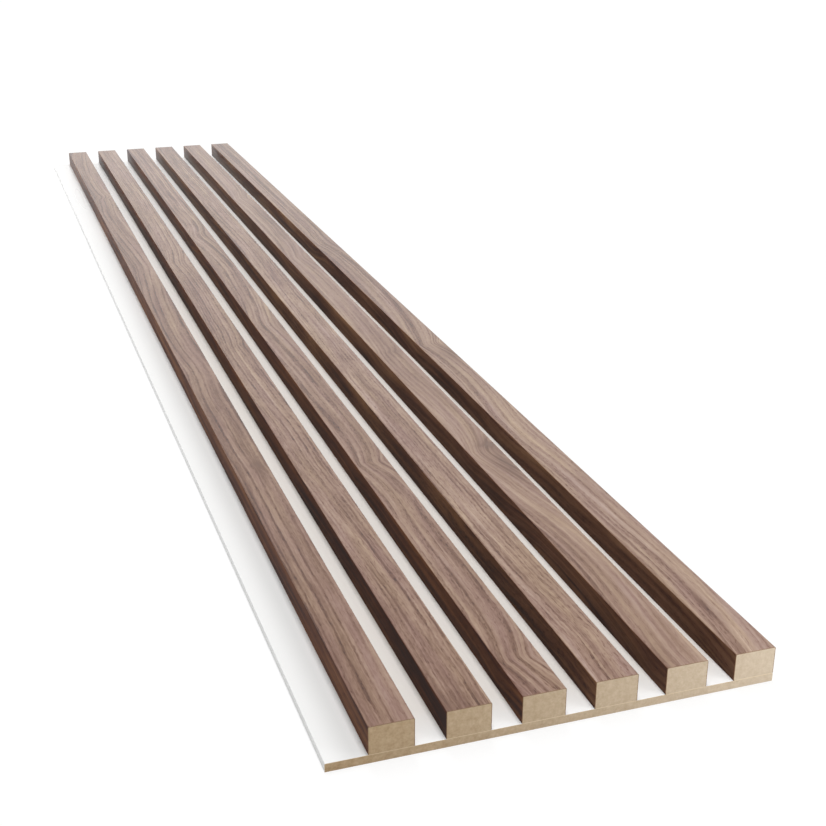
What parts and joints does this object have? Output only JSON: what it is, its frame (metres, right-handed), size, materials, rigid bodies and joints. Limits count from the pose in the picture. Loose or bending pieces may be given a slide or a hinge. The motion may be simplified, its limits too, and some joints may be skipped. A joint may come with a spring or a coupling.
{
  "type": "slat wall panel",
  "caption": "Long flat wall panel of parallel wood-effect slats glued on a thin white-faced board, with a bare margin along one side for the next panel.",
  "frame": {"origin": "middle of the back of the board, the face that is glued to the wall", "axes": "+X across the slats, from the bare margin to the flush side; +Y along the slats; +Z out of the wall"},
  "size_m": [0.31, 1.8, 0.0262],
  "materials": {
    "walnut_wrap": "satin walnut decor wrap with fine pores",
    "slat_fibreboard": "raw sawn medium-density fibreboard",
    "board_fibreboard": "raw sawn thin fibreboard",
    "white_film": "satin white",
    "glue": "set hot-melt glue"
  },
  "bodies": {
    "root": {"backing_board": "board_fibreboard", "board_face_film": "white_film", "glue_line_1": "glue", "slat_core_1": "slat_fibreboard", "slat_wrap_1": "walnut_wrap", "glue_line_2": "glue", "slat_core_2": "slat_fibreboard", "slat_wrap_2": "walnut_wrap", "glue_line_3": "glue", "slat_core_3": "slat_fibreboard", "slat_wrap_3": "walnut_wrap", "glue_line_4": "glue", "slat_core_4": "slat_fibreboard", "slat_wrap_4": "walnut_wrap", "glue_line_5": "glue", "slat_core_5": "slat_fibreboard", "slat_wrap_5": "walnut_wrap", "glue_line_6": "glue", "slat_core_6": "slat_fibreboard", "slat_wrap_6": "walnut_wrap"}
  },
  "joints": []
}
